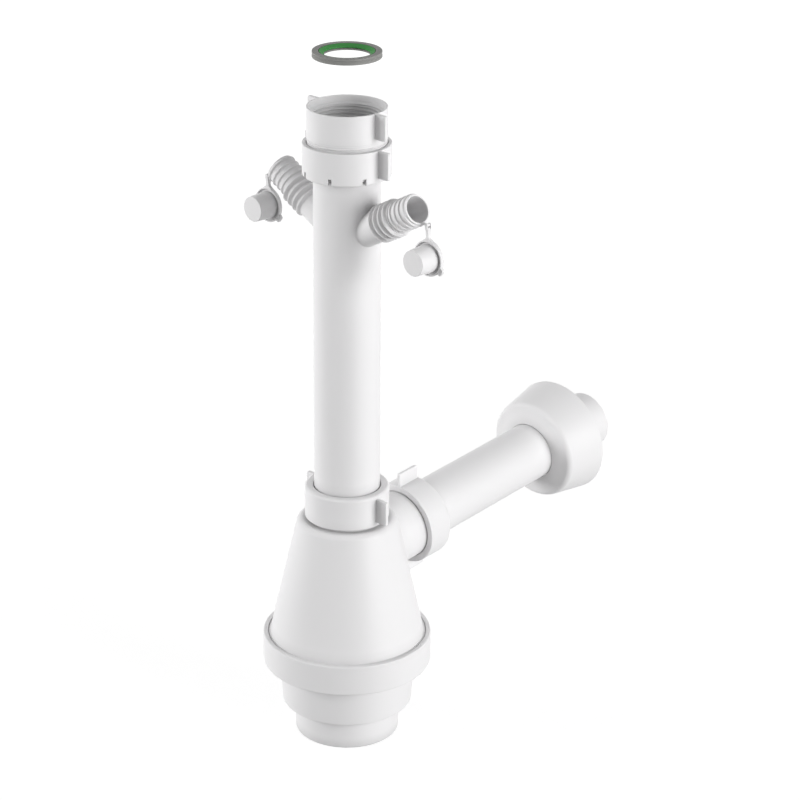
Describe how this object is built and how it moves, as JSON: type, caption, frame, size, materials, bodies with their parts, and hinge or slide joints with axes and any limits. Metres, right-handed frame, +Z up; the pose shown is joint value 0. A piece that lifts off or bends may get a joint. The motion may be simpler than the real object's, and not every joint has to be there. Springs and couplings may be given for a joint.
{
  "type": "basin bottle trap",
  "caption": "White plastic bottle trap for a basin: winged nuts on the tube and the outlet, two ribbed hose tails with blanking plugs, a round screw-off cup and a wall rose.",
  "frame": {"origin": "centre of the cup's flat foot, on the floor", "axes": "+Z up along the dip tube, +Y the way the outlet pipe points (it rises a little), +X towards the right hose tail"},
  "size_m": [0.1699, 0.308, 0.4795],
  "materials": {
    "white_plastic": "satin moulded polypropylene",
    "grey_rubber": "matt moulded rubber",
    "green_rubber": "matt soft rubber lip",
    "black_rubber": "matt moulded rubber"
  },
  "bodies": {
    "bottle": {"bottle": "white_plastic", "outlet_cone_seal": "black_rubber"},
    "bottle_cone_seal": {"bottle_cone_seal": "black_rubber"},
    "dip_tube": {"dip_tube": "white_plastic", "coupling_seal": "black_rubber"},
    "bottle_slip_ring": {"bottle_slip_ring": "white_plastic"},
    "bottle_nut": {"bottle_nut": "white_plastic"},
    "coupling_nut": {"coupling_nut": "white_plastic"},
    "inlet_adapter": {"inlet_adapter": "white_plastic"},
    "inlet_seal": {"inlet_seal_ring": "grey_rubber", "inlet_seal_lip": "green_rubber"},
    "right_plug": {"right_plug": "white_plastic"},
    "left_plug": {"left_plug": "white_plastic"},
    "cup_seal": {"cup_seal": "black_rubber"},
    "cup": {"cup": "white_plastic"},
    "outlet_slip_ring": {"outlet_slip_ring": "white_plastic"},
    "outlet_nut": {"outlet_nut": "white_plastic"},
    "outlet_pipe": {"outlet_pipe": "white_plastic"},
    "wall_rose": {"wall_rose": "white_plastic"}
  },
  "joints": [
    {"name": "dip_tube_turn", "type": "hinge", "parent": "bottle", "child": "bottle_cone_seal", "pos_m": [0, 0, 0.17], "axis": [0, 0, 1], "range_deg": [-180, 180]},
    {"name": "dip_tube_slide", "type": "slide", "parent": "bottle_cone_seal", "child": "dip_tube", "axis": [0, 0, 1], "range_m": [-0.045, 0.04]},
    {"name": "bottle_nut_lift", "type": "slide", "parent": "bottle", "child": "bottle_slip_ring", "axis": [0, 0, 1], "range_m": [0, 0.0139]},
    {"name": "bottle_nut_turn", "type": "hinge", "parent": "bottle_slip_ring", "child": "bottle_nut", "pos_m": [0, 0, 0.17], "axis": [0, 0, 1], "range_deg": [0, 2160]},
    {"name": "coupling_nut_turn", "type": "hinge", "parent": "dip_tube", "child": "coupling_nut", "pos_m": [0, 0, 0.41], "axis": [0, 0, -1], "range_deg": [0, 1800]},
    {"name": "adapter_lift", "type": "slide", "parent": "dip_tube", "child": "inlet_adapter", "axis": [0, 0, 1], "range_m": [0, 0.0116]},
    {"name": "inlet_seal_seat", "type": "slide", "parent": "inlet_adapter", "child": "inlet_seal", "axis": [0, 0, -1], "range_m": [0, 0.0476]},
    {"name": "right_plug_swing", "type": "hinge", "parent": "dip_tube", "child": "right_plug", "pos_m": [0.07113, 0, 0.38133], "axis": [0, -1, 0], "range_deg": [-20, 170]},
    {"name": "left_plug_swing", "type": "hinge", "parent": "dip_tube", "child": "left_plug", "pos_m": [-0.07323, 0, 0.38133], "axis": [0, 1, 0], "range_deg": [-20, 170]},
    {"name": "cup_drop", "type": "slide", "parent": "bottle", "child": "cup_seal", "axis": [0, 0, -1], "range_m": [0, 0.0121]},
    {"name": "cup_turn", "type": "hinge", "parent": "cup_seal", "child": "cup", "pos_m": [0, 0, 0.06], "axis": [0, 0, -1], "range_deg": [0, 1080]},
    {"name": "outlet_nut_shift", "type": "slide", "parent": "bottle", "child": "outlet_slip_ring", "axis": [0, 0.9951, 0.0993], "range_m": [0, 0.0139]},
    {"name": "outlet_nut_turn", "type": "hinge", "parent": "outlet_slip_ring", "child": "outlet_nut", "pos_m": [0, 0.06368, 0.13616], "axis": [0, 0.9951, 0.0993], "range_deg": [0, 2160]},
    {"name": "outlet_pipe_slide", "type": "slide", "parent": "bottle", "child": "outlet_pipe", "axis": [0, 0.9951, 0.0993], "range_m": [0, 0.012]},
    {"name": "wall_rose_slide", "type": "slide", "parent": "outlet_pipe", "child": "wall_rose", "axis": [0, 0.9951, 0.0993], "range_m": [-0.095, 0.02]}
  ],
  "couplings": [
    {"joint": "bottle_nut_lift", "follows": "bottle_nut_turn", "m_per_rad": 0.00036749},
    {"joint": "outlet_nut_shift", "follows": "outlet_nut_turn", "m_per_rad": 0.00036749},
    {"joint": "adapter_lift", "follows": "coupling_nut_turn", "m_per_rad": 0.00036749},
    {"joint": "cup_drop", "follows": "cup_turn", "m_per_rad": 0.00063662}
  ]
}
